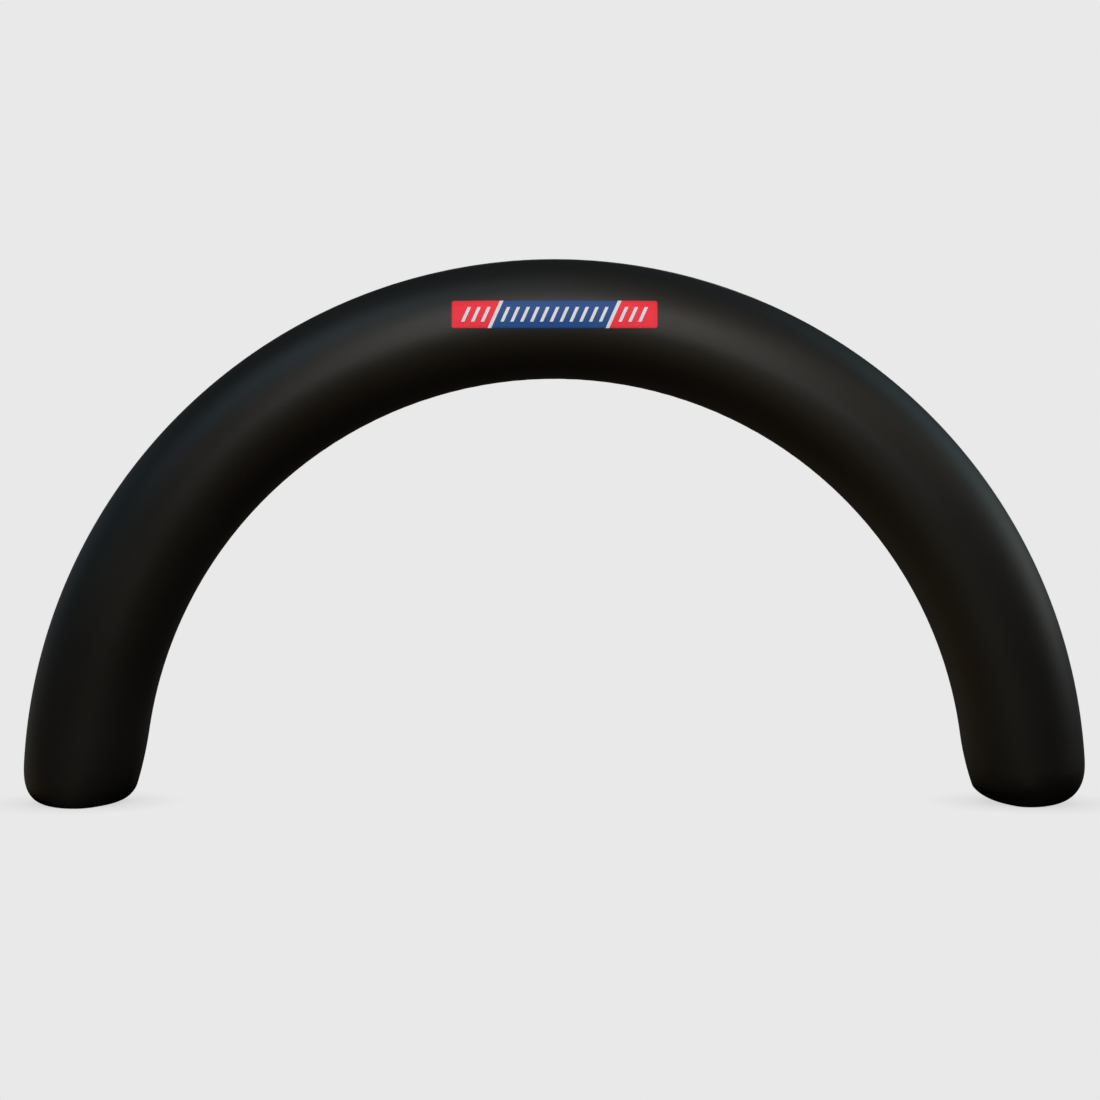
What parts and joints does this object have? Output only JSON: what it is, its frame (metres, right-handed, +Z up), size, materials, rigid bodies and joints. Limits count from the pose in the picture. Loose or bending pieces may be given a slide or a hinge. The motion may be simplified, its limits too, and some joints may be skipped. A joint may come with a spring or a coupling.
{
  "type": "inflatable arch",
  "caption": "Free-standing inflatable arch: an air-filled half ring of dark coated cloth on rounded flat-bottomed feet, with a printed panel across the crown.",
  "frame": {"origin": "on the floor, midway between the feet, in the arch's mid plane", "axes": "+X along the arch's width, +Z up; the printed panel faces -Y"},
  "size_m": [6.0869, 0.6878, 3.124],
  "materials": {
    "coated_cloth": "black coated polyester, satin",
    "printed_panel": "blue, white and red print on matt coated polyester"
  },
  "bodies": {
    "root": {"arch_tube": "coated_cloth", "banner": "printed_panel"}
  },
  "joints": []
}
